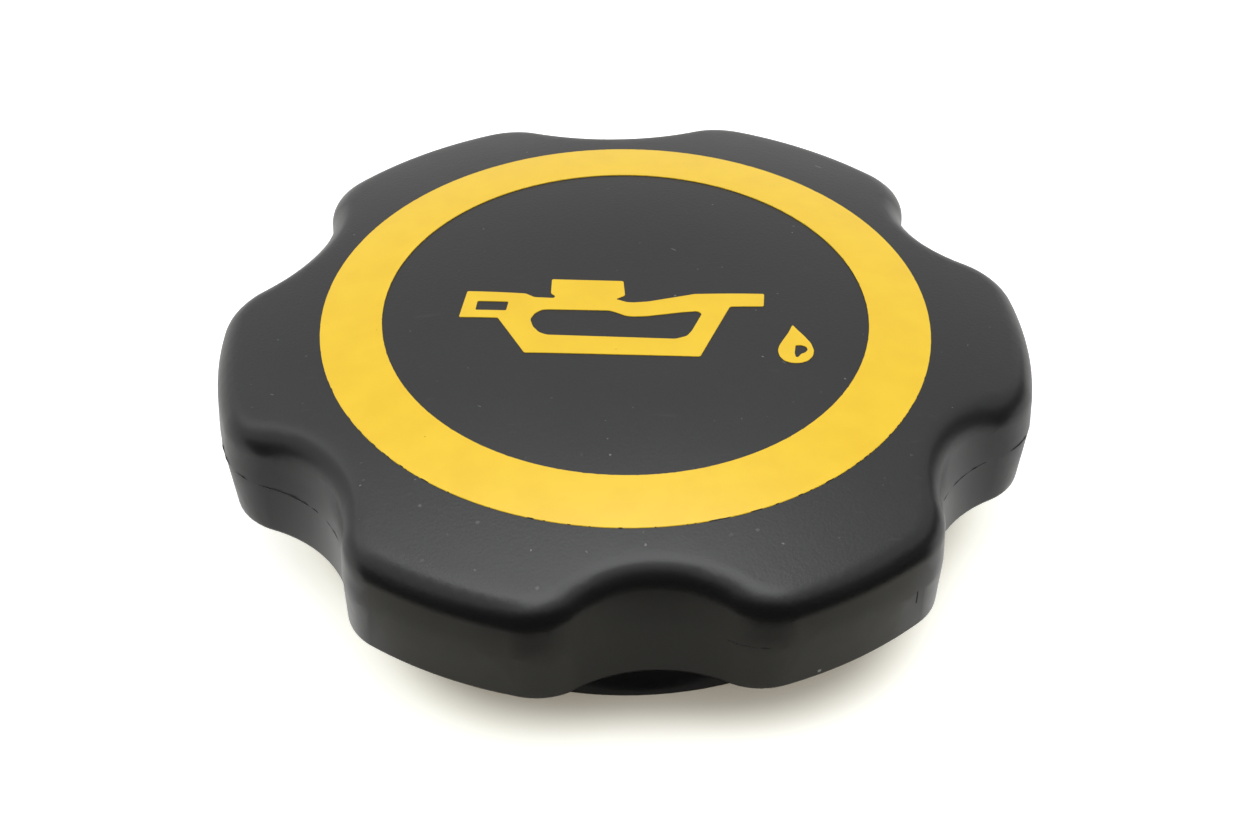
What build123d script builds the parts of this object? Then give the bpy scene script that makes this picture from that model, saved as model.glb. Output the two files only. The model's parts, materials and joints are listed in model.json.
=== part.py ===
from build123d import *
from math import acos, degrees, radians, sqrt, tan
import os

# Oil filler cap: a moulded knob with a crowned top and six grip lobes, a round collar under it
# that screws over a filler neck, a rubber washer in the collar and a yellow printed ring on top.
# Millimetres. The origin is on the cap's axis, on the face that the collar stands on. +Z is up.
# A lobe points along +X, so a finger scallop faces the front, along -Y.

# Grip outline, seen from above
lobe_count = 6
lobe_r = 37.2            # axis to the crest of a lobe
scallop_depth = 5.1      # bite of a finger scallop at the parting line, in from the crest circle
lip_scallop_depth = 4.4  # the same at the head's lower edge, where the scallops grow shallower
scallop_r = 11.2         # hollow arc of a scallop
tight_scallop_r = 6.9    # the same, of the one narrow scallop at the back right
back_lobe_turn = 2.4     # degrees, lean of the lobe behind that scallop towards it
shoulder_r = 6.6         # round between a scallop and the crest

# Head, in side view
head_height = 15.2       # top of the crown to the head's lower edge
crown_flat_r = 8.3       # flat disc in the middle of the crown
crown_r = 88.0           # arc of the crown's section outside that disc
edge_r = 2.9             # soft round between the crown and the side wall
parting_height = 5.5     # mould parting line above the head's lower edge
upper_draft = 0.3        # degrees, side wall above the parting line
lower_draft = 9.5        # degrees, crests of the lobes below it
lip_r = 0.5              # round of the head's lower edge

# Moulded walls
top_wall = 2.6
side_wall = 2.2
core_draft = 0.5         # degrees, outer side of the hollow between the side wall and the collar
rib_width = 1.6
rib_setback = 2.0        # ribs stop this far above the head's lower edge

# Screw collar
bore_r = 25.0            # wall of the bore, between the turns of its thread
collar_wall = 2.6
collar_reach = 6.8       # collar below the head's lower edge
mouth_chamfer = 0.6      # lead-in at the mouth, inside
foot_r = 0.2             # round at the mouth, outside

# Sealing washer, the pocket that it lies in and the ring that locates it
pocket_step = 0.6        # the pocket is narrower than the bore by this, all round
washer_width = 5.2
washer_thickness = 2.4
washer_play = 0.3        # washer to the pocket's wall, so that it can swell
locator_wall = 1.6
locator_relief = 0.4     # the locating ring stops this far short of the washer's face

# Printed ring
band_r = 27.7            # outer edge
band_width = 5.65
ink_thickness = 0.08

# Heights and radii that follow
total_height = head_height + collar_reach
lip_z = collar_reach
parting_z = lip_z + parting_height
lower_inset = parting_height * tan(radians(lower_draft))
collar_r = bore_r + collar_wall
pocket_r = bore_r - pocket_step
locator_r = pocket_r - washer_play - washer_width


def crown_drop(r, inset=0):
    """Fall from the middle to radius r, of the crown or of a surface inset below it."""
    arc_r = crown_r - inset
    return arc_r - sqrt(arc_r ** 2 - (r - crown_flat_r) ** 2)


seat_z = total_height - crown_drop(bore_r) - top_wall
washer_z = seat_z - washer_thickness
locator_z = washer_z + locator_relief
hollow_z = total_height - crown_drop(lobe_r - edge_r) - top_wall


def crown_section(inset, r):
    """Half section of the crown, or of a surface inset below it, out to radius r."""
    z = total_height - inset
    bend = (crown_flat_r, z)
    rim = (r, z - crown_drop(r, inset))
    return [Line((0, z), bend), TangentArc(bend, rim, tangent=(1, 0))], rim


def turned(*lines):
    """Solid of revolution about the cap's axis, from a closed half section (radius, height)."""
    return revolve(Plane.YZ * make_face(lines), Axis.Z)


def under_crown(inset=0):
    """All that lies below the crown, or below a surface inset from it, out past the head."""
    reach = lobe_r + edge_r
    section, rim = crown_section(inset, reach)
    return turned(*section, Polyline(rim, (reach, 0), (0, 0), (0, total_height - inset)))


def polar(r, angle):
    """Point at radius r, angle in degrees from +X."""
    return Vector(r, 0).rotate(Axis.Z, angle)


def grip_outline(inset=0, depth=scallop_depth):
    """Shoulders, scallops and crests, moved in by inset: each arc leads on from the one before."""
    crest_r = lobe_r - inset
    round_r = shoulder_r - inset
    ridge_r = crest_r - round_r
    joins = []
    for k in range(lobe_count):
        angle = (k + 0.5) * 360 / lobe_count
        hollow_r = scallop_r + inset
        if k < 2:                # the two scallops beside the lobe at the back right
            angle -= back_lobe_turn
        if k == 0:
            hollow_r = tight_scallop_r + inset
        bed_r = crest_r - depth + hollow_r
        span = hollow_r + round_r
        lean = degrees(acos((bed_r ** 2 + ridge_r ** 2 - span ** 2) / (2 * bed_r * ridge_r)))
        bed = polar(bed_r, angle)
        near, far = polar(ridge_r, angle - lean), polar(ridge_r, angle + lean)
        share = hollow_r / span
        joins += [polar(crest_r, angle - lean), bed + (near - bed) * share]
        joins += [bed + (far - bed) * share, polar(crest_r, angle + lean)]
    arcs = []
    heading = joins[0].rotate(Axis.Z, 90)
    for start, end in zip(joins, joins[1:] + joins[:1]):
        arcs.append(TangentArc(start, end, tangent=heading))
        heading = arcs[-1] % 1
    return make_face(arcs)


def head():
    """Solid knob: crowned, drawn in both ways from the parting line, with a soft top edge."""
    outline = Pos(0, 0, parting_z) * grip_outline()
    lip_outline = Pos(0, 0, lip_z) * grip_outline(lower_inset, lip_scallop_depth)
    lower = loft([lip_outline, outline], ruled=True)
    upper = extrude(outline, total_height - parting_z, taper=upper_draft) & under_crown()
    top_edges = upper.edges().filter_by(GeomType.BSPLINE)
    knob = fillet(top_edges, edge_r) + lower
    lip_edges = knob.edges().group_by(Axis.Z)[0]
    return fillet(lip_edges, lip_r)


def lobe_hollow():
    """Space cored out between the side wall and the collar, less the ribs that cross it."""
    mouth = Pos(0, 0, lip_z) * grip_outline(side_wall + lower_inset)
    core = extrude(mouth, hollow_z - lip_z, taper=core_draft)
    rib_height = hollow_z - lip_z - rib_setback
    rib = Pos(0, 0, hollow_z - rib_height / 2) * Box(lobe_r, rib_width, rib_height)
    ribs = [place * rib for place in PolarLocations(lobe_r / 2, 2 * lobe_count)]
    return core - Cylinder(collar_r, 2 * total_height) - ribs


def socket():
    """Space inside the collar: bore, seat for the washer, and the roof inside its locating ring."""
    inner_r = locator_r - locator_wall
    roof, rim = crown_section(top_wall, inner_r)
    wall = Polyline(
        rim,
        (inner_r, locator_z),
        (locator_r, locator_z),
        (locator_r, seat_z),
        (pocket_r, seat_z),
        (pocket_r, washer_z),
        (bore_r, washer_z),
        (bore_r, mouth_chamfer),
        (bore_r + mouth_chamfer, 0),
        (0, 0),
        (0, total_height - top_wall),
    )
    return turned(*roof, wall)


def cap_body():
    """The one moulding: head, collar, ribs and washer seat."""
    collar = Cylinder(collar_r, parting_z, align=(Align.CENTER, Align.CENTER, Align.MIN))
    foot = fillet(collar.edges().group_by(Axis.Z)[0], foot_r)
    return head() + foot - lobe_hollow() - socket()


def sealing_washer():
    """Flat rubber ring, pushed over the locating ring against its seat."""
    ring = Cylinder(locator_r + washer_width, washer_thickness) - Cylinder(locator_r, washer_thickness)
    return Pos(0, 0, (washer_z + seat_z) / 2) * ring


def ring_print():
    """Band of ink that follows the crown."""
    film = under_crown(-ink_thickness) - under_crown()
    band = Cylinder(band_r, 2 * total_height + 1) - Cylinder(band_r - band_width, 2 * total_height + 1)
    return film & band


os.makedirs("parts", exist_ok=True)
for make in (cap_body, sealing_washer, ring_print):
    export_step(make(), f"parts/{make.__name__}.step")
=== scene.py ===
# %% [markdown]
# An oil filler cap: a black moulded knob with six grip lobes, a yellow ring printed on its crown, and in
# the ring an oil can with one drop. The solid shapes come from CAD. This lesson dresses them: it sets the
# camera and the studio, gives each piece its finish, and models what is too fine for the solids. Those
# are the printed can and drop, the broken bead of flash that the mould left on the side wall, and the
# screw thread in the collar.

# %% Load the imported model
import json
from math import atan2, degrees, hypot, pi, radians

import bmesh
import bpy
from mathutils import Matrix, Vector, noise

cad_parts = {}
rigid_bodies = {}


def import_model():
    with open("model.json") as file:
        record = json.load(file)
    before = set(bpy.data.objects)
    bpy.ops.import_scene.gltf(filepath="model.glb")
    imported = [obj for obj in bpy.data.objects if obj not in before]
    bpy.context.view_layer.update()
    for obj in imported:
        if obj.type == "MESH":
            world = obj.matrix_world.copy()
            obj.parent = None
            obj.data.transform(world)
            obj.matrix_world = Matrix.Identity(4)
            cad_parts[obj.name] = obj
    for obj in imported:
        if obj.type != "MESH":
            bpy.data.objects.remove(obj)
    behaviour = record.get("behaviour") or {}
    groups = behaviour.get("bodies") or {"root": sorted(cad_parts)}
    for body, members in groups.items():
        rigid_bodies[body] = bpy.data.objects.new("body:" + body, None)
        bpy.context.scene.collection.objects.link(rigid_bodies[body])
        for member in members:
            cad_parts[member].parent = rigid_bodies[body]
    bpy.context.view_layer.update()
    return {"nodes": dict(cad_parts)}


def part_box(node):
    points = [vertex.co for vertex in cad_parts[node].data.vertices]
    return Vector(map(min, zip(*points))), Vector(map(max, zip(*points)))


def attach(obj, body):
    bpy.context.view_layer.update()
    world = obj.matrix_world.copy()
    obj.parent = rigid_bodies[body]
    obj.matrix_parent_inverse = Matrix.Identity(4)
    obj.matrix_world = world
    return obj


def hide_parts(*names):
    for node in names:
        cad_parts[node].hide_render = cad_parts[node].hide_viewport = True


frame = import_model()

mm = 0.001
scene = bpy.context.scene
cap_body = frame["nodes"]["cap_body"]
ring_print = frame["nodes"]["ring_print"]
sealing_washer = frame["nodes"]["sealing_washer"]
cap_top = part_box("cap_body")[1].z
print("loaded", sorted(frame["nodes"]), "- the cap is", round(cap_top / mm, 2), "mm tall")

# %% [markdown]
# The camera. The cap was photographed from a little above, with a long lens, so its far side is hardly
# smaller than its near side. A lens is easier to judge in pixels: the focal length was measured as 4000
# pixels on a frame 1248 pixels wide, and Blender wants it in millimetres on a sensor 36 mm wide. The
# camera looks down by its tilt, is turned a little about the cap's axis, and leans by half a degree about
# its own line of sight.

# %% Camera
photo_width = 1248
focal_pixels = 4000.0
sensor_width = 36.0
view_tilt = radians(39.417)
view_turn = radians(-4.364)
view_lean = radians(0.481)
view_place = Vector((-21.80, -284.81, 244.26)) * mm
nearest_seen = 10 * mm

bpy.ops.object.select_all(action="DESELECT")
bpy.ops.object.camera_add(location=view_place)
camera = bpy.context.object
aim = Matrix.Rotation(view_turn, 3, "Z") @ Matrix.Rotation(pi / 2 - view_tilt, 3, "X")
camera.rotation_euler = (aim @ Matrix.Rotation(view_lean, 3, "Z")).to_euler()
camera.data.sensor_fit = "HORIZONTAL"
camera.data.sensor_width = sensor_width
camera.data.lens = focal_pixels * sensor_width / photo_width
camera.data.clip_start = nearest_seen
scene.camera = camera
print("camera with a", round(camera.data.lens, 1), "mm lens")

# %% [markdown]
# A helper for shader maths. A finish is a net of small nodes, and a net is hard to read as a list of
# links. This class wraps one output socket, so that sums of sockets are written as sums: each operator
# adds the Math node that does it. Every other kind of node comes from the method called node, which sets
# its settings first and its sockets after that. The methods below it are patterns that more than one
# finish needs.

# %% Shader maths
class Wire:
    """One output of a shader node, to be used in sums."""

    def __init__(self, socket):
        self.socket = socket

    def node(self, kind, settings, sockets, out=0):
        """Adds a node to the same net and gives one of its outputs."""
        net = self.socket.id_data
        made = net.nodes.new(kind)
        for name, value in settings.items():
            setattr(made, name, value)
        for name, value in sockets.items():
            if isinstance(value, Wire):
                net.links.new(value.socket, made.inputs[name])
            else:
                made.inputs[name].default_value = value
        return Wire(made.outputs[out])

    def output(self, name):
        """Another output of the node that this wire comes from."""
        return Wire(self.socket.node.outputs[name])

    def math(self, operation, first, second=0.0):
        """A Math node."""
        return self.node("ShaderNodeMath", {"operation": operation}, {0: first, 1: second})

    def __add__(self, other):
        return self.math("ADD", self, other)

    def __sub__(self, other):
        return self.math("SUBTRACT", self, other)

    def __rsub__(self, other):
        return self.math("SUBTRACT", other, self)

    def __mul__(self, other):
        return self.math("MULTIPLY", self, other)

    def __gt__(self, other):
        return self.math("GREATER_THAN", self, other)

    def __lt__(self, other):
        return self.math("LESS_THAN", self, other)

    def __pow__(self, other):
        return self.math("POWER", self, other)

    def __abs__(self):
        return self.math("ABSOLUTE", self)

    __radd__ = __add__
    __rmul__ = __mul__

    def rise(self, low, high):
        """A soft step: 0 below low, 1 above high."""
        ends = {"Value": self, "From Min": low, "From Max": high}
        return self.node("ShaderNodeMapRange", {"interpolation_type": "SMOOTHSTEP"}, ends)

    def parts(self):
        """The x, y and z of a vector."""
        split = self.node("ShaderNodeSeparateXYZ", {}, {0: self})
        return split, split.output("Y"), split.output("Z")

    def noise(self, size, detail=2.0):
        """Cloudy noise about 0.5 whose grains are of that size in metres."""
        return self.node("ShaderNodeTexNoise", {}, {"Vector": self, "Scale": 1 / size, "Detail": detail})

    def cells(self, size, settings):
        """Cells of that size in metres, strewn at random: how far it is to the nearest one's middle."""
        return self.node("ShaderNodeTexVoronoi", settings, {"Vector": self, "Scale": 1 / size})

    def stretched(self, scale):
        """These coordinates times a vector, to draw a pattern out along an axis."""
        return self.node("ShaderNodeVectorMath", {"operation": "MULTIPLY"}, {0: self, 1: scale})

    def blend(self, dark, pale):
        """A colour between two, by this wire."""
        return self.node("ShaderNodeMix", {"data_type": "RGBA"}, {0: self, 6: dark, 7: pale}, out=2)


def new_finish(name):
    """A material with a Principled shader: the material, the shader and the Object coordinates."""
    finish = bpy.data.materials.new(name)
    finish.use_nodes = True
    nodes = finish.node_tree.nodes
    return finish, nodes["Principled BSDF"], Wire(nodes.new("ShaderNodeTexCoord").outputs["Object"])


def feed(shader, sockets):
    """Sets or links the sockets of a shader."""
    for name, value in sockets.items():
        if isinstance(value, Wire):
            value.socket.id_data.links.new(value.socket, shader.inputs[name])
        else:
            shader.inputs[name].default_value = value


print("shader maths is ready")

# %% [markdown]
# The studio. The cap stands on a white sheet in a white tent: light of the same strength comes from all
# round, so a colour looks as it is written. A world of plain white does that by itself. The view
# transform is Standard, because Blender's softer default would turn the white of the tent and the paper
# to grey.

# %% White tent
tent_white = (1, 1, 1, 1)
tent_strength = 1.0

scene.view_settings.view_transform = "Standard"
world = bpy.data.worlds.new("studio")
world.use_nodes = True
scene.world = world
feed(world.node_tree.nodes["Background"], {"Color": tent_white, "Strength": tent_strength})
print("white tent of strength", tent_strength)

# %% [markdown]
# Two soft lamps. Black plastic shows its shape only by what it mirrors, so each lamp is a broad area,
# which has a size to be mirrored. The main one hangs overhead and draws the pale sheen on the crown, and
# a weaker one at the back left lifts the left of it. They would also wash out the colours, so only
# reflections see them. The power of an area lamp grows with its size: here its brightness is given, and
# its watts follow from that.

# %% Soft lamps
lamp_tint = (0.97, 0.985, 1.0)
lamps = {
    "main lamp": {"size": (0.58, 0.82), "place": (0.02, -0.06, 0.80), "radiance": 3.9},
    "left lamp": {"size": (0.46, 0.80), "place": (-0.58, 0.26, 0.72), "radiance": 1.5},
}

for name, plan in lamps.items():
    bpy.ops.object.select_all(action="DESELECT")
    bpy.ops.object.light_add(type="AREA", location=plan["place"])
    lamp = bpy.context.object
    lamp.name = name
    lamp.data.shape = "RECTANGLE"
    lamp.data.size, lamp.data.size_y = plan["size"]
    lamp.data.energy = plan["radiance"] * pi * plan["size"][0] * plan["size"][1]
    lamp.data.color = lamp_tint
    lamp.rotation_euler = Vector(plan["place"]).to_track_quat("Z", "Y").to_euler()
    lamp.visible_camera = False
    lamp.visible_diffuse = False
    print(name, "of", round(lamp.data.energy, 2), "W")

# %% [markdown]
# A dark cloth on the camera's side. For black things a studio needs dark as well as white: it is the cloth
# that draws the black band along the rounded front edge. It begins in front of the cap, lies on the floor
# until behind the camera, hangs there, and comes back on both sides, where its top edge falls. It is made
# from a plane: the far edge is extruded upwards, and then each upright edge is extruded back along its
# side. By hand those edges would be selected with a box, so a small helper selects corners by their place.

# %% Cloth: shape
cloth_near = 0.028
cloth_far = 0.45
cloth_width = 1.2
cloth_lift = 0.3 * mm
cloth_rise = 0.34
cloth_sides = {
    "left": {"side": -1, "reach": 0.42, "fall": 0.24},
    "right": {"side": 1, "reach": 1.05, "fall": 0.16},
}
slack = 1 * mm


def pick(piece, test):
    """Selects the corners of a piece in edit mode that pass a test on their place, and their edges."""
    net = bmesh.from_edit_mesh(piece.data)
    for vertex in net.verts:
        vertex.select = test(vertex.co)
    net.select_flush_mode()
    bmesh.update_edit_mesh(piece.data)


def is_far(place):
    """Whether a place on the cloth is at its far edge, behind the camera."""
    return place.y < slack - cloth_far


bpy.ops.object.select_all(action="DESELECT")
bpy.ops.mesh.primitive_plane_add(size=1, location=(0, -(cloth_near + cloth_far) / 2, cloth_lift))
cloth = bpy.context.object
cloth.name = "dark_cloth"
cloth.scale = (cloth_width, cloth_far - cloth_near, 1)
bpy.ops.object.transform_apply(location=True, rotation=True, scale=True)
bpy.ops.object.mode_set(mode="EDIT")
pick(cloth, is_far)
bpy.ops.mesh.extrude_edges_move(TRANSFORM_OT_translate={"value": (0, 0, cloth_rise)})
for plan in cloth_sides.values():
    pick(cloth, lambda co: is_far(co) and co.x * plan["side"] > 0)
    bpy.ops.mesh.extrude_edges_move(TRANSFORM_OT_translate={"value": (0, plan["reach"], 0)})
    pick(cloth, lambda co: not is_far(co) and co.z > cloth_rise / 2 and co.x * plan["side"] > 0)
    bpy.ops.transform.translate(value=(0, 0, -plan["fall"]))
bpy.ops.object.mode_set(mode="OBJECT")
print("dark cloth of", len(cloth.data.polygons), "faces, from", cloth_near, "m in front")

# %% [markdown]
# What the cloth is like. It is deepest black in the middle and grey towards its sides, so that the band
# on the cap's edge fades out to the left and right. Close to the cap a strip of it is pale and warm, as
# paper would be, for the side wall to mirror; the strip is a little duller in the middle, and ends sooner
# straight in front. One material does it all, with soft steps by the place. Like the lamps, the cloth is
# seen only by reflections.

# %% Cloth: finish
cloth_black = (0.002, 0.002, 0.002, 1)
cloth_dark = (0.16, 0.16, 0.16, 1)
cloth_dull = (0.79, 0.77, 0.67, 1)
cloth_bright = (0.88, 0.86, 0.75, 1)
matt = {"Roughness": 1.0, "Specular IOR Level": 0.0}
pale_from = (32 * mm, 36 * mm)
pale_to = (54 * mm, 70 * mm)
pale_front = (47 * mm, 57 * mm)
bright_from = (12 * mm, 36 * mm)
grey_from = (0.30, 0.58)


def from_axis(x, y):
    """Distance from an upright line, for two wires that tell the place beside it."""
    return (x * x + y * y) ** 0.5


cloth_finish, cloth_shader, cloth_at = new_finish("black_cloth")
cloth_x, cloth_y = cloth_at.parts()[:2]
cloth_out = from_axis(cloth_x, cloth_y)
cloth_ahead = 0 - cloth_y
cloth_pale = cloth_out.rise(*pale_from) * (1 - cloth_out.rise(*pale_to))
cloth_pale = cloth_pale * (1 - cloth_ahead.rise(*pale_front))
# The pale strip is a painted reflection: it is what the side wall mirrors in place of lit floor.
cloth_strip_tone = abs(cloth_x).rise(*bright_from).blend(cloth_dull, cloth_bright)
cloth_deep = abs(cloth_x).rise(*grey_from).blend(cloth_black, cloth_dark)
cloth_tone = cloth_pale.blend(cloth_deep, cloth_strip_tone)
feed(cloth_shader, {"Base Color": cloth_tone, **matt})
cloth.data.materials.append(cloth_finish)
cloth.visible_camera = False
cloth.visible_diffuse = False
cloth.visible_shadow = False
print("cloth is pale from", pale_from[0] / mm, "to", pale_to[1] / mm, "mm")

# %% [markdown]
# The sheet on the floor takes the cap's shadow. A plain disc would do for the photograph, but the collar
# stands flat on it and would shut all light out of the bore for whoever looks at the cap from below. So
# the sheet is a ring with an opening that the collar hides: a circle is extruded on the spot and the new
# edge resized outwards.

# %% Sheet: shape
sheet_r = 4.0
hole_r = 24.0 * mm
hole_points = 96
sheet_drop = 0.02 * mm


def face_up(piece):
    """Turns a flat piece in edit mode so that its faces point up."""
    bpy.ops.mesh.select_all(action="SELECT")
    net = bmesh.from_edit_mesh(piece.data)
    net.normal_update()
    if sum(face.normal.z * face.calc_area() for face in net.faces) < 0:
        bpy.ops.mesh.flip_normals()


bpy.ops.object.select_all(action="DESELECT")
bpy.ops.mesh.primitive_circle_add(radius=hole_r, vertices=hole_points, location=(0, 0, -sheet_drop))
floor = bpy.context.object
floor.name = "white_sheet"
spread = sheet_r / hole_r
bpy.ops.object.mode_set(mode="EDIT")
bpy.ops.mesh.select_all(action="SELECT")
bpy.ops.mesh.extrude_edges_move()
bpy.ops.transform.resize(value=(spread, spread, 1), center_override=(0, 0, 0))
face_up(floor)
bpy.ops.object.mode_set(mode="OBJECT")
print("white sheet laid, facing up:", floor.data.polygons[0].normal.z > 0)

# %% [markdown]
# White paper. It is matt all over and not quite white: its fibres make it wander by a percent or so. Its
# underside is clear, so that the cap can be looked at from below. The Geometry node tells which side of a
# face a ray meets, and by that a Mix Shader takes either the paper or a transparent shader.

# %% Sheet: paper
paper_low = (0.925, 0.92, 0.907, 1)
paper_white = (0.94, 0.937, 0.925, 1)
fibre_size = 2.5 * mm

paper, paper_shader, paper_at = new_finish("white_paper")
paper_tone = paper_at.noise(fibre_size, detail=4.0).blend(paper_low, paper_white)
feed(paper_shader, {"Base Color": paper_tone, **matt})
under = paper_at.node("ShaderNodeNewGeometry", {}, {}, out="Backfacing")
clear = paper_at.node("ShaderNodeBsdfTransparent", {}, {})
sides = paper_at.node("ShaderNodeMixShader", {}, {0: under, 1: Wire(paper_shader.outputs[0]), 2: clear})
feed(paper.node_tree.nodes["Material Output"], {"Surface": sides})
floor.data.materials.append(paper)
print("paper with", len(paper.node_tree.nodes), "nodes")

# %% [markdown]
# A glow on the paper. In the photograph the open floor goes out to plain white, and only by the cap is it
# warm and shaded. More light would whiten it but also wash out the cap. So the paper glows a little,
# though only for rays that come from the camera, through something clear, or from a mirror, which the
# Light Path node tells apart. A mirror sees a quarter of the glow, and all of it at the foot of the cap,
# except in front: that paints a brighter reflection of the floor into the cap's lower walls. The glow is
# weakest under the cap, which is a painted shadow over the real one. It has a painted warm tint at the
# rim of that shadow and is plain further out, and the painted shadow follows the six lobes.

# %% Sheet: glow with a painted shadow
no_glow = (0, 0, 0, 1)
# The two darker glow colours paint the cap's shadow and its warm rim.
painted_shadow_glow = (0.11, 0.084, 0.040, 1)
painted_shadow_rim_glow = (0.60, 0.59, 0.50, 1)
open_glow = (0.67, 0.67, 0.66, 1)
shade_middle = (1.5 * mm, -4.0 * mm)
shade_rim = (25.0 * mm, 31.5 * mm)
warm_rim = (28.5 * mm, 38.0 * mm)
lobe_count = 6
lobe_shade = 0.04
mirror_share = 0.25
foot_rim = (37 * mm, 44 * mm)
foot_front = (-27 * mm, -20 * mm)

paper_x, paper_y = paper_at.parts()[:2]
# Mirrors see the whole glow at the foot: a painted reflection of bright floor in the lower walls.
at_foot = (1 - from_axis(paper_x, paper_y).rise(*foot_rim)) * paper_y.rise(*foot_front)
from_camera = paper_at.node("ShaderNodeLightPath", {}, {}, out="Is Camera Ray")
from_mirror = from_camera.output("Is Glossy Ray") * (mirror_share + (1 - mirror_share) * at_foot)
seen = from_camera + from_mirror + from_camera.output("Is Transmission Ray")
# The painted shadow is bent to follow the six lobes.
lobed = paper_x.math("COSINE", lobe_count * paper_x.math("ARCTAN2", paper_y, paper_x))
shade_out = from_axis(paper_x - shade_middle[0], paper_y - shade_middle[1]) * (1 - lobe_shade * lobed)
glow = shade_out.rise(*shade_rim).blend(painted_shadow_glow, painted_shadow_rim_glow)
glow = shade_out.rise(*warm_rim).blend(glow, open_glow)
feed(paper_shader, {"Emission Color": seen.blend(no_glow, glow), "Emission Strength": 1.0})
print("paper glows plain white from", warm_rim[1] / mm, "mm")

# %% [markdown]
# Black plastic, first its grain. The cap is moulded in one shot, so its colour goes all the way through:
# an almost black grey. What tells it from paint is its skin. The crown was spark eroded in the mould,
# which leaves a grain of about a quarter of a millimetre, and the side wall was polished along the draw,
# which leaves faint upright lines. Both are noise in Object coordinates, where a size is a true size, and
# the lines are noise drawn out along the axis. The normal tells the crown from the wall.

# %% Plastic: grain
cloud_size = 7 * mm
grain_size = 0.28 * mm
line_size = 0.35 * mm
line_stretch = (1, 1, 0.06)
top_facing = (0.75, 0.95)

black_plastic, plastic_shader, plastic_at = new_finish("black_plastic")
plastic_x, plastic_y, plastic_z = plastic_at.parts()
facing = plastic_at.node("ShaderNodeTexCoord", {}, {}, out="Normal").parts()[2]
top_side = facing.rise(*top_facing)
cloud = plastic_at.noise(cloud_size, detail=3.0)
grain = plastic_at.noise(grain_size, detail=3.0)
draw_lines = plastic_at.stretched(line_stretch).noise(line_size)
print("plastic with a grain of", grain_size / mm, "mm")

# %% [markdown]
# Dust and painted glints on the crown. A cap that lies about gathers pale specks and a few short hairs
# of lint. Towards its front there are more specks: the extra ones are painted glints, where the crown's
# highlight lies. Specks could be modelled, but they have no height to speak of. A Voronoi texture strews
# cells over the crown and draws a random colour for each. One part of that colour decides how large the
# speck in the cell is: most come out below nothing, so most cells stay clean. Another decides how pale
# it is. Noise shifts the places a little, so that specks are crumbs and not discs. The hairs are the
# same again, stretched and set askew.

# %% Plastic: dust and painted glints
flat_cells = {"voronoi_dimensions": "2D"}
crumb_size = 0.25 * mm
crumb_shift = (0.3 * mm, 0.3 * mm, 0.3 * mm)
speck_cell = 2.4 * mm
speck_growth = 0.22
speck_clean = 0.165
speck_edge = 0.02
speck_faintest = 0.12
# The next two numbers add specks towards the front: painted glints where the crown's highlight lies.
front_glints = 0.13
front_from = (5 * mm, 28 * mm)
hair_cell = 4 * mm
hair_stretch = (0.22, 1, 1)
hair_turn = 0.7  # radians
hair_growth = 0.10
hair_clean = 0.075
hair_strength = 0.5

wander = plastic_at.noise(crumb_size).output("Color")
add_shift = {"operation": "MULTIPLY_ADD"}
crumbs = plastic_at.node("ShaderNodeVectorMath", add_shift, {0: wander, 1: crumb_shift, 2: plastic_at})
spots = crumbs.cells(speck_cell, flat_cells)
chosen, strength = spots.output("Color").parts()[:2]
front = (0 - plastic_y).rise(*front_from)
speck_size = (chosen + front_glints * front) * speck_growth - speck_clean
specks = (speck_size - spots).rise(0.0, speck_edge)
specks = specks * (speck_faintest + (1 - speck_faintest) * strength * strength)
about_z = {"rotation_type": "Z_AXIS"}
askew = plastic_at.node("ShaderNodeVectorRotate", about_z, {"Vector": plastic_at, "Angle": hair_turn})
hairs = askew.stretched(hair_stretch).cells(hair_cell, flat_cells)
hair_chosen = hairs.output("Color").parts()[0]
strokes = (hairs < hair_chosen * hair_growth - hair_clean) * hair_strength
dust_and_glints = (specks + strokes) * top_side
print("dust in cells of", round(speck_cell / mm, 1), "mm")

# %% [markdown]
# Marks of use. Handling leaves faint scuffs on the crown and a slight shine on the crests of the lobes,
# and the right front lobe has one upright scratch and one pale nick near its lower edge. Scuffs are
# stretched noise of which only the peaks are kept, and the shine grows with the distance from the axis.
# The two single marks are small boxes in Object coordinates: where the skin passes through such a box,
# the mark is on.

# %% Plastic: marks of use
scuff_size = 1.1 * mm
scuff_stretch = (0.22, 1, 1)
scuff_peaks = (0.66, 0.74)
crest_r = (33.5 * mm, 36.0 * mm)
shine_clouds = (0.35, 0.7)
scratch_place = (23.43, -28.68, 11.40)
scratch_size = (0.075, 0.40, 0.85)
nick_place = (14.53, -33.40, 7.60)
nick_size = (0.15, 0.20, 0.16)


def mark(place, size):
    """A small spot on the skin: 1 inside a box of those half sizes about a place, in millimetres."""
    inside = 1.0
    for wire, middle, half in zip((plastic_x, plastic_y, plastic_z), place, size):
        inside = (abs(wire - middle * mm) < half * mm) * inside
    return inside


scuffs = plastic_at.stretched(scuff_stretch).noise(scuff_size, detail=4.0).rise(*scuff_peaks) * top_side
shine = from_axis(plastic_x, plastic_y).rise(*crest_r) * cloud.rise(*shine_clouds)
scratch = mark(scratch_place, scratch_size)
nick = mark(nick_place, nick_size)
print("scratch of", round(2 * scratch_size[2], 2), "mm")

# %% [markdown]
# The finish put together. Colour is hardly more than black, with the cloud and the grain in it, and over
# that the scuffs and the dust with its painted glints. Roughness is what gives the plastic its satin
# sheen: it is a little higher on the eroded crown, lower where hands have polished the crests, and much
# higher in the scratch. Grain, draw lines and the scratch are heights for a Bump node, since they are
# far too shallow to be worth a mesh.

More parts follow.
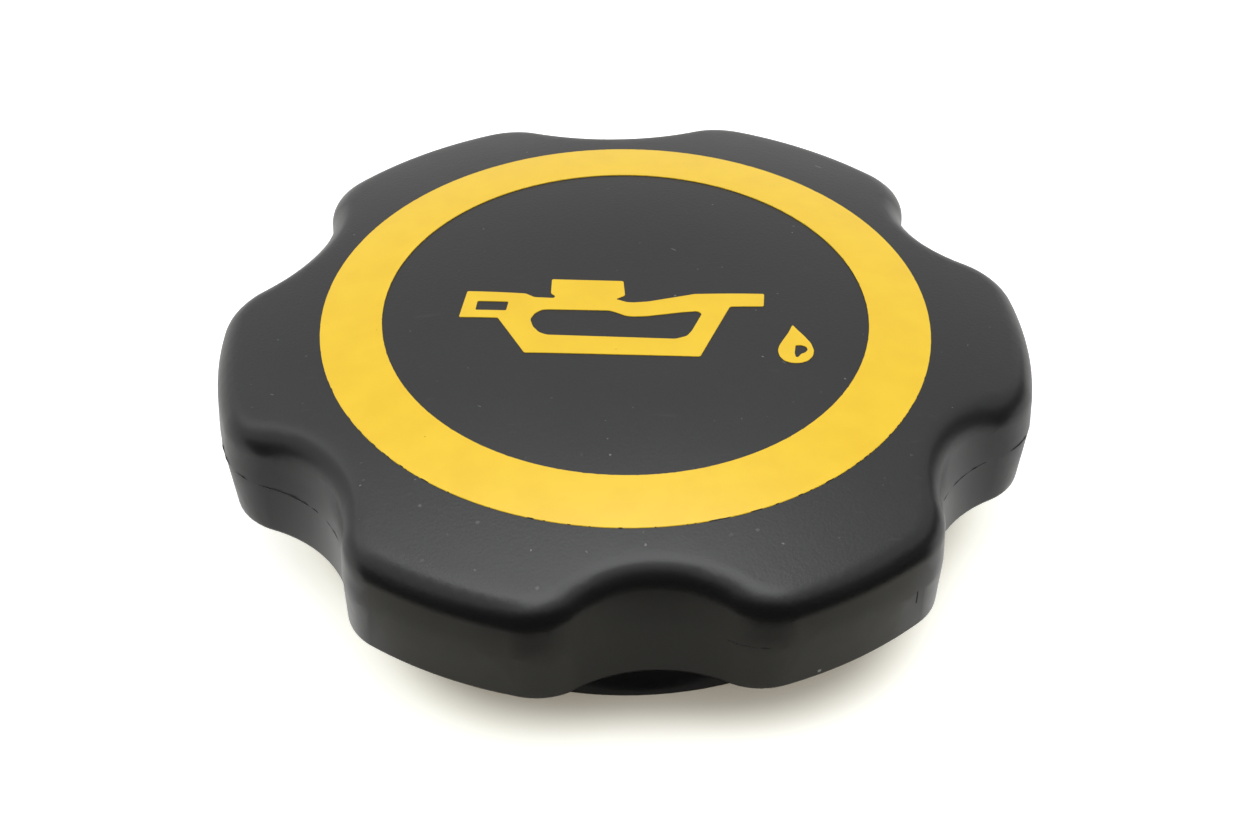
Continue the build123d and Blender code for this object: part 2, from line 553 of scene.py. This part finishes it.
# %% Plastic: finish
black_low = (0.0020, 0.0020, 0.0022, 1)
black_high = (0.0085, 0.0085, 0.0088, 1)
scuff_grey = (0.03, 0.03, 0.03, 1)
# The pale colour of the dust specks and of the painted glints.
dust_and_glint_pale = (0.17, 0.17, 0.165, 1)
grain_share = 0.6
scuff_share = 0.25
rough_base = 0.32
rough_by_cloud = 0.06
rough_on_top = 0.06
rough_by_scuff = 0.05
rough_off_shine = 0.05
rough_in_scratch = 0.5
line_height = 0.2
scratch_depth = 2.5
grain_depth = 0.05 * mm
grain_bump = 0.36
plastic_gloss = 0.40

tone = ((1 - grain_share) * cloud + grain_share * grain).blend(black_low, black_high)
tone = (scuffs * scuff_share).blend(tone, scuff_grey)
tone = (dust_and_glints + nick).blend(tone, dust_and_glint_pale)
rough = rough_base + rough_by_cloud * cloud + rough_on_top * top_side
rough = rough + rough_by_scuff * scuffs - rough_off_shine * shine + rough_in_scratch * scratch
height = grain * top_side + draw_lines * (1 - top_side) * line_height - scratch_depth * scratch
relief = {"Strength": grain_bump, "Distance": grain_depth, "Height": height}
bump = plastic_at.node("ShaderNodeBump", {}, relief)
feed(plastic_shader, {"Base Color": tone, "Roughness": rough, "Normal": bump})
feed(plastic_shader, {"Specular IOR Level": plastic_gloss})
cap_body.data.materials.clear()
cap_body.data.materials.append(black_plastic)
print("black plastic on", cap_body.name)

# %% [markdown]
# One skin. The solid comes as patches of triangles, one patch for each face of the CAD model, and each
# patch is shaded by itself, so a glossy black wall breaks at every join. The real moulding has one
# unbroken skin. A copy is welded, its old shading is cleared, and it is shaded as one surface, in which
# large faces count for more than slivers. It has the same points as the solid and takes its place in the
# picture.

# %% Cap with one skin
sharp_angle = radians(32)
weld = 0.002 * mm


def copied(piece, name):
    """A copy of a piece with a mesh of its own and none of the labels that the piece carries."""
    bpy.ops.object.select_all(action="DESELECT")
    piece.select_set(True)
    bpy.context.view_layer.objects.active = piece
    bpy.ops.object.duplicate()
    copy = bpy.context.object
    copy.name = copy.data.name = name
    for key in list(copy.keys()):
        del copy[key]
    copy.parent = None
    return copy


cap_skin = copied(cap_body, "cap_skin")
bpy.ops.object.mode_set(mode="EDIT")
bpy.ops.mesh.select_all(action="SELECT")
bpy.ops.mesh.remove_doubles(threshold=weld)
bpy.ops.mesh.customdata_custom_splitnormals_clear()
bpy.ops.object.mode_set(mode="OBJECT")
bpy.ops.object.shade_smooth_by_angle(angle=sharp_angle)
weigh = cap_skin.modifiers.new("large faces first", "WEIGHTED_NORMAL")
weigh.keep_sharp = True
bpy.ops.object.modifier_apply(modifier=weigh.name)
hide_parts("cap_body")
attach(cap_skin, "root")
print("skin with", len(cap_skin.data.vertices), "points")

# %% [markdown]
# Marking ink. The ring and the oil can are pad printed in one warm yellow: a film of ink, flat and
# opaque. The pad leaves the film slightly uneven, so the yellow wanders by a few percent, and here and
# there a pinhole lets the black through. The wandering is noise, and the pinholes are cells with a random
# size, as the dust is.

# %% Ink: film
ink_deep = (0.915, 0.587, 0.007, 1)
ink_full = (0.955, 0.626, 0.010, 1)
ink_lost = (0.05, 0.035, 0.01, 1)
film_size = 3.5 * mm
film_range = (0.3, 0.7)
pin_cell = 1.9 * mm
pin_growth = 0.05
pin_clean = 0.022
pin_strength = 0.75

yellow_ink, ink_shader, ink_at = new_finish("yellow_ink")
film = ink_at.noise(film_size, detail=4.0)
pins = ink_at.cells(pin_cell, {})
pin_chosen = pins.output("Color").parts()[1]
pinholes = (pins < pin_chosen * pin_growth - pin_clean) * pin_strength
ink_tone = film.rise(*film_range).blend(ink_deep, ink_full)
ink_tone = pinholes.blend(ink_tone, ink_lost)
print("ink with pinholes in cells of", round(pin_cell / mm, 1), "mm")

# %% [markdown]
# The ring's ragged edges. Seen close, a printed edge isn't cut with a knife: the ink stops a few
# hundredths of a millimetre sooner or later. The film of the ring is a clean solid, so the edge is
# nibbled in its colour: where the gap to the edge is smaller than a noise, the black shows. The ink's
# skin is a little glossier than the plastic, and a faint bump keeps its mirror image from being too
# clean.

# %% Ink: edges and gloss
ring_middle = 24.875 * mm
ring_half = 2.825 * mm
ragged = 0.045 * mm
ragged_size = 0.7 * mm
ragged_peaks = (0.5, 0.8)
ink_skin_size = 0.30 * mm
ink_skin_depth = 0.04 * mm
ink_skin_bump = 0.06
ink_rough = 0.30
ink_rough_by_film = 0.08
ink_gloss = 0.42

ink_x, ink_y = ink_at.parts()[:2]
ink_r = from_axis(ink_x, ink_y)
edge_gap = ring_half - abs(ink_r - ring_middle)
nibbled = ragged * ink_at.noise(ragged_size, detail=3.0).rise(*ragged_peaks)
on_ring = ink_r > ring_middle - ring_half
ink_tone = ((edge_gap < nibbled) * on_ring).blend(ink_tone, ink_lost)
ink_skin = ink_at.noise(ink_skin_size)
ink_relief = {"Strength": ink_skin_bump, "Distance": ink_skin_depth, "Height": ink_skin}
ink_bump = ink_at.node("ShaderNodeBump", {}, ink_relief)
feed(ink_shader, {"Base Color": ink_tone, "Roughness": ink_rough + ink_rough_by_film * film})
feed(ink_shader, {"Normal": ink_bump, "Specular IOR Level": ink_gloss})
ring_print.data.materials.clear()
ring_print.data.materials.append(yellow_ink)
print("yellow ink on", ring_print.name)

# %% [markdown]
# Rubber. The washer that seals the cap on its neck is a flat ring of nitrile rubber: matt, greyer than
# the plastic, with a fine mould texture and a bloom that comes out of the rubber with age. The photograph
# doesn't show it, so the finish stays plain: one noise for the bloom, which is also rougher, and one for
# the texture.

# %% Rubber of the washer
rubber_low = (0.024, 0.023, 0.021, 1)
rubber_bloom = (0.052, 0.050, 0.046, 1)
bloom_size = 4 * mm
bloom_range = (0.35, 0.75)
pore_size = 0.25 * mm
pore_depth = 0.06 * mm
pore_bump = 0.25
rubber_rough = 0.62
rubber_rough_by_bloom = 0.2

rubber, rubber_shader, rubber_at = new_finish("nitrile_rubber")
bloom = rubber_at.noise(bloom_size, detail=4.0)
pores = rubber_at.noise(pore_size, detail=3.0)
rubber_tone = bloom.rise(*bloom_range).blend(rubber_low, rubber_bloom)
rubber_relief = {"Strength": pore_bump, "Distance": pore_depth, "Height": pores}
rubber_bump = rubber_at.node("ShaderNodeBump", {}, rubber_relief)
feed(rubber_shader, {"Base Color": rubber_tone, "Normal": rubber_bump})
feed(rubber_shader, {"Roughness": rubber_rough + rubber_rough_by_bloom * bloom})
sealing_washer.data.materials.clear()
sealing_washer.data.materials.append(rubber)
print("rubber on", sealing_washer.name)

# %% [markdown]
# Drawing a printed shape. A flat sign with holes in it is easiest as outlines, one for the sign and one
# for each hole. A Text or a curve could be filled as well, but a mesh keeps every corner where it was
# drawn: a plane is merged to one vertex, which is extruded from corner to corner, and the loop is closed.
# Then the corners are bevelled, because the printer's film had rounded them.

# %% Outline of a printed shape
corner_segments = 4
corner_weld = 0.01 * mm


def outline(points, rounding):
    """One closed loop of edges through points given in millimetres, with its corners rounded."""
    bpy.ops.object.select_all(action="DESELECT")
    bpy.ops.mesh.primitive_plane_add(size=mm)
    loop = bpy.context.object
    bpy.ops.object.mode_set(mode="EDIT")
    bpy.ops.mesh.merge(type="CENTER")
    bpy.ops.transform.translate(value=(points[0][0] * mm, points[0][1] * mm, 0))
    for (x0, y0), (x1, y1) in zip(points, points[1:]):
        step = ((x1 - x0) * mm, (y1 - y0) * mm, 0)
        bpy.ops.mesh.extrude_vertices_move(TRANSFORM_OT_translate={"value": step})
    net = bmesh.from_edit_mesh(loop.data)
    for vertex in net.verts:
        vertex.select = len(vertex.link_edges) == 1
    bmesh.update_edit_mesh(loop.data)
    bpy.ops.mesh.edge_face_add()
    bpy.ops.mesh.select_all(action="SELECT")
    soft = rounding * mm
    bpy.ops.mesh.bevel(offset=soft, segments=corner_segments, affect="VERTICES", clamp_overlap=True)
    bpy.ops.mesh.select_all(action="SELECT")
    bpy.ops.mesh.remove_doubles(threshold=corner_weld)
    bpy.ops.object.mode_set(mode="OBJECT")
    return loop


print("outlines get corners of", corner_segments, "segments")

# %% [markdown]
# From outlines to a film of ink. The crown isn't flat, so the sign has to bend with it. All loops are
# joined, and one Fill makes the sheet between them. The sheet hovers over the crown and is cut by a grid
# of bisecting planes, so that it has vertices enough to bend. A Shrinkwrap drops it straight down on the
# crown, which keeps the sign's shape as seen from above, and a Solidify gives it the thickness of the
# ink.

# %% Film of ink from outlines
ink_thickness = 0.06 * mm
print_turn = radians(-6.89)
print_hover = 5 * mm
grid_step = 1.4 * mm


def cut_in_squares(sheet):
    """Cuts a flat sheet in edit mode along a grid."""
    for axis in range(2):
        places = [vertex.co[axis] for vertex in sheet.data.vertices]
        across = Vector((float(axis == 0), float(axis == 1), 0.0))
        reach = min(places) + grid_step / 2
        while reach < max(places):
            bpy.ops.mesh.select_all(action="SELECT")
            bpy.ops.mesh.bisect(plane_co=across * reach + sheet.location, plane_no=across)
            reach += grid_step


def printed(name, loops):
    """Fills the loops, lays the sheet on the crown and gives it the thickness of the ink."""
    bpy.ops.object.select_all(action="DESELECT")
    for loop in loops:
        loop.select_set(True)
    bpy.context.view_layer.objects.active = loops[0]
    bpy.ops.object.join()
    sheet = bpy.context.object
    sheet.name = sheet.data.name = name
    sheet.rotation_euler.z = print_turn
    sheet.location.z = cap_top + print_hover
    bpy.ops.object.mode_set(mode="EDIT")
    bpy.ops.mesh.select_all(action="SELECT")
    bpy.ops.mesh.fill(use_beauty=True)
    cut_in_squares(sheet)
    face_up(sheet)
    bpy.ops.object.mode_set(mode="OBJECT")
    bpy.ops.object.transform_apply(location=True, rotation=True, scale=True)
    drop = sheet.modifiers.new("lay on the crown", "SHRINKWRAP")
    drop.target = cap_skin
    drop.wrap_method = "PROJECT"
    drop.use_project_z = True
    drop.use_negative_direction = True
    drop.use_positive_direction = False
    bpy.ops.object.modifier_apply(modifier=drop.name)
    film_wall = sheet.modifiers.new("ink", "SOLIDIFY")
    film_wall.thickness = ink_thickness
    film_wall.offset = 1
    bpy.ops.object.modifier_apply(modifier=film_wall.name)
    sheet.data.materials.clear()
    sheet.data.materials.append(yellow_ink)
    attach(sheet, "root")
    return sheet


print("ink film of", ink_thickness / mm, "mm")

# %% [markdown]
# The oil can. It is the plain sign that engines use for oil: a low can with a handle at the left, a
# filler knob on top and a long spout at the right, drawn as a solid shape with a window in it and a slot
# in the handle. Corners are given in millimetres from the cap's axis, with the can level. The print is
# turned by a few degrees against the lobes, as nothing lines the pad up with them.

# %% Oil can
can_rounding = 0.16
window_rounding = 0.22
slot_rounding = 0.14
can_edge = [
    (-14.50, 2.05), (-9.15, 1.72), (-8.35, 1.22), (-6.55, 1.20), (-6.45, 1.50), (-6.88, 1.90),
    (-6.92, 3.97), (-0.40, 4.07), (-0.15, 1.98), (-0.97, 1.36), (0.05, 0.97), (0.65, 0.95), (2.00, 1.17),
    (5.75, 2.38), (6.10, 2.52), (12.46, 3.05), (12.46, 1.22), (9.42, 0.90), (6.98, -6.50), (-8.74, -6.78),
    (-11.46, -1.85), (-14.98, -1.72),
]
can_window = [
    (-8.52, -2.00), (-8.15, -1.10), (-7.55, -0.55), (-6.90, -0.46), (-1.45, -0.31), (-0.70, -0.62),
    (0.05, -1.00), (0.65, -1.08), (1.95, -0.95), (5.05, -0.20), (6.50, 0.05), (6.93, -0.32), (6.10, -2.90),
    (5.70, -3.65), (4.70, -4.13), (-6.90, -4.20), (-7.60, -3.88), (-8.20, -3.08),
]
can_slot = [(-13.46, 0.60), (-10.64, 0.50), (-10.78, -0.82), (-13.58, -0.74)]

can_loops = [
    outline(can_edge, can_rounding),
    outline(can_window, window_rounding),
    outline(can_slot, slot_rounding),
]
oil_can = printed("oil_can_print", can_loops)
print("oil can with", len(oil_can.data.polygons), "faces")

# %% [markdown]
# The drop under the spout, with a small gleam left open in it. Its outline leans as the printed one does:
# the tip stands left of the middle. It is drawn with the same two tools, and closer points make it a
# smooth curve.

# %% Oil drop
drop_rounding = 0.20
gleam_rounding = 0.14
drop_edge = [
    (15.11, -1.16), (15.55, -1.78), (16.22, -2.62), (16.82, -3.50), (17.10, -4.45), (17.03, -5.20),
    (16.62, -5.92), (15.95, -6.35), (15.20, -6.47), (14.50, -6.28), (14.05, -5.72), (13.88, -4.95),
    (13.98, -4.30), (14.34, -3.35), (14.75, -2.40),
]
drop_gleam = [
    (15.44, -4.00), (15.95, -3.88), (16.42, -4.05), (16.55, -4.45), (16.35, -4.86), (15.95, -5.15),
    (15.72, -5.62), (15.50, -5.66), (15.38, -5.10),
]

drop_loops = [
    outline(drop_edge, drop_rounding),
    outline(drop_gleam, gleam_rounding),
]
oil_drop = printed("oil_drop_print", drop_loops)
print("drop with", len(oil_drop.data.polygons), "faces")

# %% [markdown]
# Flash. Where the two halves of a mould meet, a little plastic creeps between them and leaves a fine bead
# round the part. On this cap hands have rubbed most of it away, and what is left runs in short stretches,
# most of them in the scallops. Each stretch is listed by where it starts and ends, in degrees about the
# axis, and by its thickness. For the line itself, a copy of the cap is cut by a plane at the parting
# height, only the outer cut line is kept, and of that only the listed stretches.

# %% Flash: its stretches on the parting line
parting_height = 12.3 * mm
flash_cuts = 3
flash_fade = 1.2
flash_runs = [
    (186.8, 192.8, 0.9), (193.8, 197.0, 0.7), (198.0, 208.4, 1.0), (210.2, 215.6, 0.6), (280, 286, 0.5),
    (327.6, 330.8, 0.7), (331.8, 337.5, 0.6), (336.0, 339.6, 1.1), (342.6, 347.2, 1.0),
    (24, 33, 0.8), (84, 92, 0.7), (145, 154, 0.9),
]


def flash_share(place):
    """How much of its full thickness the flash has at a place on the wall: 0 or less where it is gone."""
    angle = degrees(atan2(place.y, place.x)) % 360
    shares = []
    for first, last, share in flash_runs:
        shares.append(share * min(1.0, (angle - first) / flash_fade, (last - angle) / flash_fade))
    return max(shares)


flash = copied(cap_skin, "parting_flash")
bpy.ops.object.mode_set(mode="EDIT")
bpy.ops.mesh.select_all(action="SELECT")
level = (0, 0, parting_height)
bpy.ops.mesh.bisect(plane_co=level, plane_no=(0, 0, 1), clear_inner=True, clear_outer=True)
outermost = max(hypot(v.co.x, v.co.y) for v in bmesh.from_edit_mesh(flash.data).verts)
pick(flash, lambda co: hypot(co.x, co.y) == outermost)
bpy.ops.mesh.select_linked()
bpy.ops.mesh.select_all(action="INVERT")
bpy.ops.mesh.delete(type="VERT")
bpy.ops.mesh.select_all(action="SELECT")
bpy.ops.mesh.subdivide(number_cuts=flash_cuts)
pick(flash, lambda co: flash_share(co) <= 0)
bpy.ops.mesh.delete(type="VERT")
bpy.ops.object.mode_set(mode="OBJECT")
print("parting line with", len(flash.data.vertices), "points")

# %% [markdown]
# The flash as a bead. As a curve the stretches take a round section, with closed ends, and each point has
# a thickness of its own, so that a stretch swells, thins and fades out as torn plastic does. A bevelled
# mesh edge would be even all along. At the end the curve is made a mesh again, which the export needs.

# %% Flash: bead
flash_r = 0.075 * mm
flash_mean = 0.75
flash_swing = 1.3
flash_grain = 0.8 * mm
flash_thinnest = 0.05

flash.data.materials.clear()
bpy.ops.object.convert(target="CURVE")
flash = bpy.context.object
flash.data.bevel_depth = flash_r
flash.data.bevel_resolution = 1
flash.data.use_fill_caps = True
for spline in flash.data.splines:
    for point in spline.points:
        uneven = flash_mean + flash_swing * noise.noise(Vector(point.co[:3]) / flash_grain)
        point.radius = max(flash_thinnest, flash_share(point.co) * uneven)
bpy.ops.object.convert(target="MESH")
flash = bpy.context.object
flash.name = flash.data.name = "parting_flash"
flash.data.materials.clear()
flash.data.materials.append(black_plastic)
bpy.ops.object.shade_smooth()
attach(flash, "root")
print("flash with", len(flash.data.polygons), "faces")

# %% [markdown]
# The screw thread. The cap screws over its neck, so the collar has a thread inside it: a ridge with
# sloping flanks that climbs to the right. It isn't seen in the photograph. One section of the ridge is
# drawn on the wall of the bore, narrow at its crest and wide at its root, which sits a little inside the
# wall. Only its outline is kept, and a Screw modifier winds that up round the axis. An array of rings
# would be simpler, but rings don't climb.

# %% Thread: ridge
bore_r = 25.0 * mm
thread_depth = 1.1 * mm
thread_root = 0.15 * mm
crest_half = 0.35 * mm
root_half = 1.25 * mm
pitch = 4.5 * mm
thread_turns = 2
thread_start = 3.0 * mm
steps = 96
section_half = 1 * mm
section_place = (bore_r, 0, thread_start)

bpy.ops.object.select_all(action="DESELECT")
bpy.ops.mesh.primitive_plane_add(size=2 * section_half, location=section_place, rotation=(pi / 2, 0, 0))
thread = bpy.context.object
thread.name = thread.data.name = "neck_thread"
bpy.ops.object.transform_apply(location=True, rotation=True, scale=True)
bpy.ops.object.mode_set(mode="EDIT")
pick(thread, lambda co: co.x < bore_r)
bpy.ops.transform.resize(value=(1, 1, crest_half / section_half), center_override=section_place)
bpy.ops.transform.translate(value=(section_half - thread_depth, 0, 0))
pick(thread, lambda co: co.x > bore_r)
bpy.ops.transform.resize(value=(1, 1, root_half / section_half), center_override=section_place)
bpy.ops.transform.translate(value=(thread_root - section_half, 0, 0))
bpy.ops.mesh.select_all(action="SELECT")
bpy.ops.mesh.delete(type="ONLY_FACE")
bpy.ops.object.mode_set(mode="OBJECT")
wind = thread.modifiers.new("wind up", "SCREW")
wind.axis = "Z"
wind.angle = 2 * pi
wind.screw_offset = pitch
wind.iterations = thread_turns
wind.steps = wind.render_steps = steps
bpy.ops.object.modifier_apply(modifier=wind.name)
print("thread with", len(thread.data.vertices), "points")

# %% [markdown]
# The run-out of the thread. A moulded ridge doesn't end in a stump: it sinks into the wall over part of a
# turn, so that the neck's own thread can find its way in. Every vertex of the crest is asked how far
# along the thread it is, and near both ends it is pushed out towards the wall, the further the nearer it
# is to the end.

# %% Thread: run-out
run_out_steps = 14
thread_weld = 0.001 * mm
end_height = 0.02 * mm


def steps_along(vertex):
    """How far along the thread a vertex is, in steps from its start."""
    turned = atan2(vertex.co.y, vertex.co.x) % (2 * pi) / (2 * pi)
    climbed = (vertex.co.z - thread_start) / pitch
    return (round(climbed - turned) + turned) * steps


bpy.ops.object.mode_set(mode="EDIT")
bpy.ops.mesh.select_all(action="SELECT")
bpy.ops.mesh.remove_doubles(threshold=thread_weld)
net = bmesh.from_edit_mesh(thread.data)
for vertex in net.verts:
    spot = steps_along(vertex)
    short = max(0.0, 1 - min(spot, thread_turns * steps - spot) / run_out_steps)
    reach = hypot(vertex.co.x, vertex.co.y)
    if reach < bore_r and short > 0:
        grown = reach + (bore_r + thread_root - end_height - reach) * short
        vertex.co.x *= grown / reach
        vertex.co.y *= grown / reach
bmesh.update_edit_mesh(thread.data)
bpy.ops.object.mode_set(mode="OBJECT")
print("thread runs out over", run_out_steps, "of", steps, "steps in a turn")

# %% [markdown]
# The thread closed. The wound ridge is a tube that is open at both ends. Its open edges are found as
# those that don't border two faces, a fill closes them, and the normals are turned outwards. Its flanks
# are shaded smooth along the turn, and stay sharp at the crest.

# %% Thread: closed ends
thread_sharp = radians(35)

bpy.ops.object.mode_set(mode="EDIT")
bpy.ops.mesh.select_all(action="DESELECT")
bpy.ops.mesh.select_non_manifold()
bpy.ops.mesh.fill()
bpy.ops.mesh.select_all(action="SELECT")
bpy.ops.mesh.normals_make_consistent(inside=False)
bpy.ops.object.mode_set(mode="OBJECT")
bpy.ops.object.shade_smooth_by_angle(angle=thread_sharp)
thread.data.materials.clear()
thread.data.materials.append(black_plastic)
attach(thread, "root")
print("thread closed with", len(thread.data.polygons), "faces")
